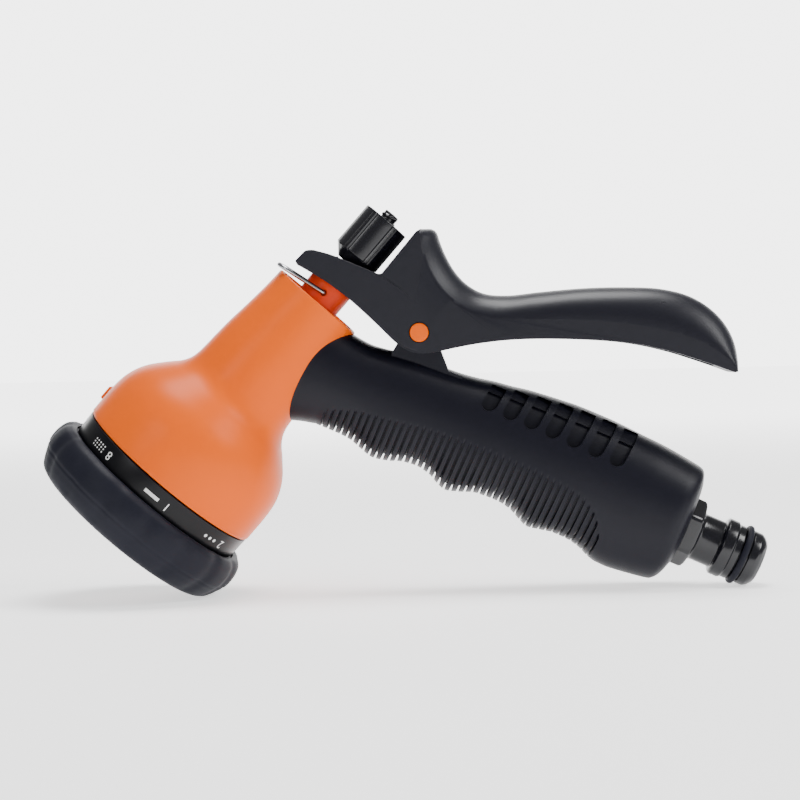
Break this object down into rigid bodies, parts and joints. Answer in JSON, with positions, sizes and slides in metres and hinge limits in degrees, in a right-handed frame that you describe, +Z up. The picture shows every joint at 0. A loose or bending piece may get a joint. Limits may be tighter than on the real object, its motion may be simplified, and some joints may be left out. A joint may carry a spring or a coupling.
{
  "type": "hose spray nozzle",
  "caption": "Trigger hose spray nozzle: bell-shaped pattern head with a turning selector ring, lift valve with flow knob and wire hold-open clip, ribbed grip and quick-connect hose nipple.",
  "frame": {"origin": "centre of the bounding box's footprint, at the surface the nozzle stands on", "axes": "+Z up as it stands on its face ring and hose nipple, +X towards the hose nipple, +Y across the grip"},
  "size_m": [0.2086, 0.0672, 0.1121],
  "materials": {
    "orange_plastic": "satin",
    "red_orange_plastic": "satin",
    "black_plastic": "fine grain",
    "gloss_black_plastic": "gloss",
    "black_rubber": "matte",
    "natural_plastic": "plain",
    "bright_wire": "bright",
    "spring_steel": "plain",
    "brass": "plain"
  },
  "bodies": {
    "body": {"head_shell": "orange_plastic", "grip_shell": "black_plastic", "grip_pad": "black_rubber", "water_pipe": "natural_plastic", "hose_connector": "gloss_black_plastic", "connector_oring": "black_rubber", "inlet_filter": "spring_steel", "valve_body": "black_plastic", "valve_seat": "natural_plastic", "gland_nut": "brass", "stem_oring": "black_rubber", "oring_carrier": "natural_plastic", "valve_spring": "spring_steel", "port_plate": "black_plastic", "port_seal": "black_rubber", "port_spring": "spring_steel", "face_seal": "black_rubber", "detent_spring": "spring_steel", "centre_screw": "spring_steel", "pivot_pin": "orange_plastic"},
    "selector": {"pattern_ring": "black_plastic", "bumper_ring": "black_rubber", "pattern_disc": "black_plastic", "centre_cap": "orange_plastic"},
    "trigger": {"trigger_lever": "black_plastic"},
    "stem": {"stem_rod": "gloss_black_plastic", "stem_sleeve": "red_orange_plastic", "plunger_seal": "black_rubber"},
    "washer": {"knob_washer": "black_plastic"},
    "knob": {"flow_knob": "gloss_black_plastic"},
    "clip": {"wire_clip": "bright_wire"},
    "detent": {"detent_pin": "spring_steel"}
  },
  "joints": [
    {"name": "trigger_hinge", "type": "hinge", "parent": "body", "child": "trigger", "pos_m": [0.00539, 0, 0.07495], "axis": [0, 1, 0], "range_deg": [0, 13], "stiffness_Nm_per_rad": 2, "springref_deg": -11.46},
    {"name": "stem_slide", "type": "slide", "parent": "body", "child": "stem", "axis": [0.6678, 0, 0.7443], "range_m": [0, 0.0066], "deforming": ["valve_spring"]},
    {"name": "washer_slide", "type": "slide", "parent": "stem", "child": "washer", "axis": [0.6678, 0, 0.7443], "range_m": [0, 0.0015]},
    {"name": "knob_turn", "type": "hinge", "parent": "washer", "child": "knob", "pos_m": [-0.0081, 0, 0.10234], "axis": [0.6678, 0, 0.7443], "range_deg": [0, 360]},
    {"name": "clip_swing", "type": "hinge", "parent": "stem", "child": "clip", "pos_m": [-0.02186, 0, 0.087], "axis": [0, 1, 0], "range_deg": [0, 10]},
    {"name": "selector_turn", "type": "hinge", "parent": "body", "child": "selector", "pos_m": [-0.06821, 0, 0.03535], "axis": [0.6678, 0, 0.7443], "continuous": true},
    {"name": "detent_slide", "type": "slide", "parent": "body", "child": "detent", "axis": [0.6678, 0, 0.7443], "range_m": [0, 0.001], "stiffness_N_per_m": 500, "springref_m": -0.002, "deforming": ["detent_spring"]}
  ],
  "couplings": [
    {"joint": "stem_slide", "follows": "trigger_hinge", "m_per_rad": 0.0285},
    {"joint": "knob_turn", "follows": "washer_slide", "rad_per_m": 4188}
  ]
}
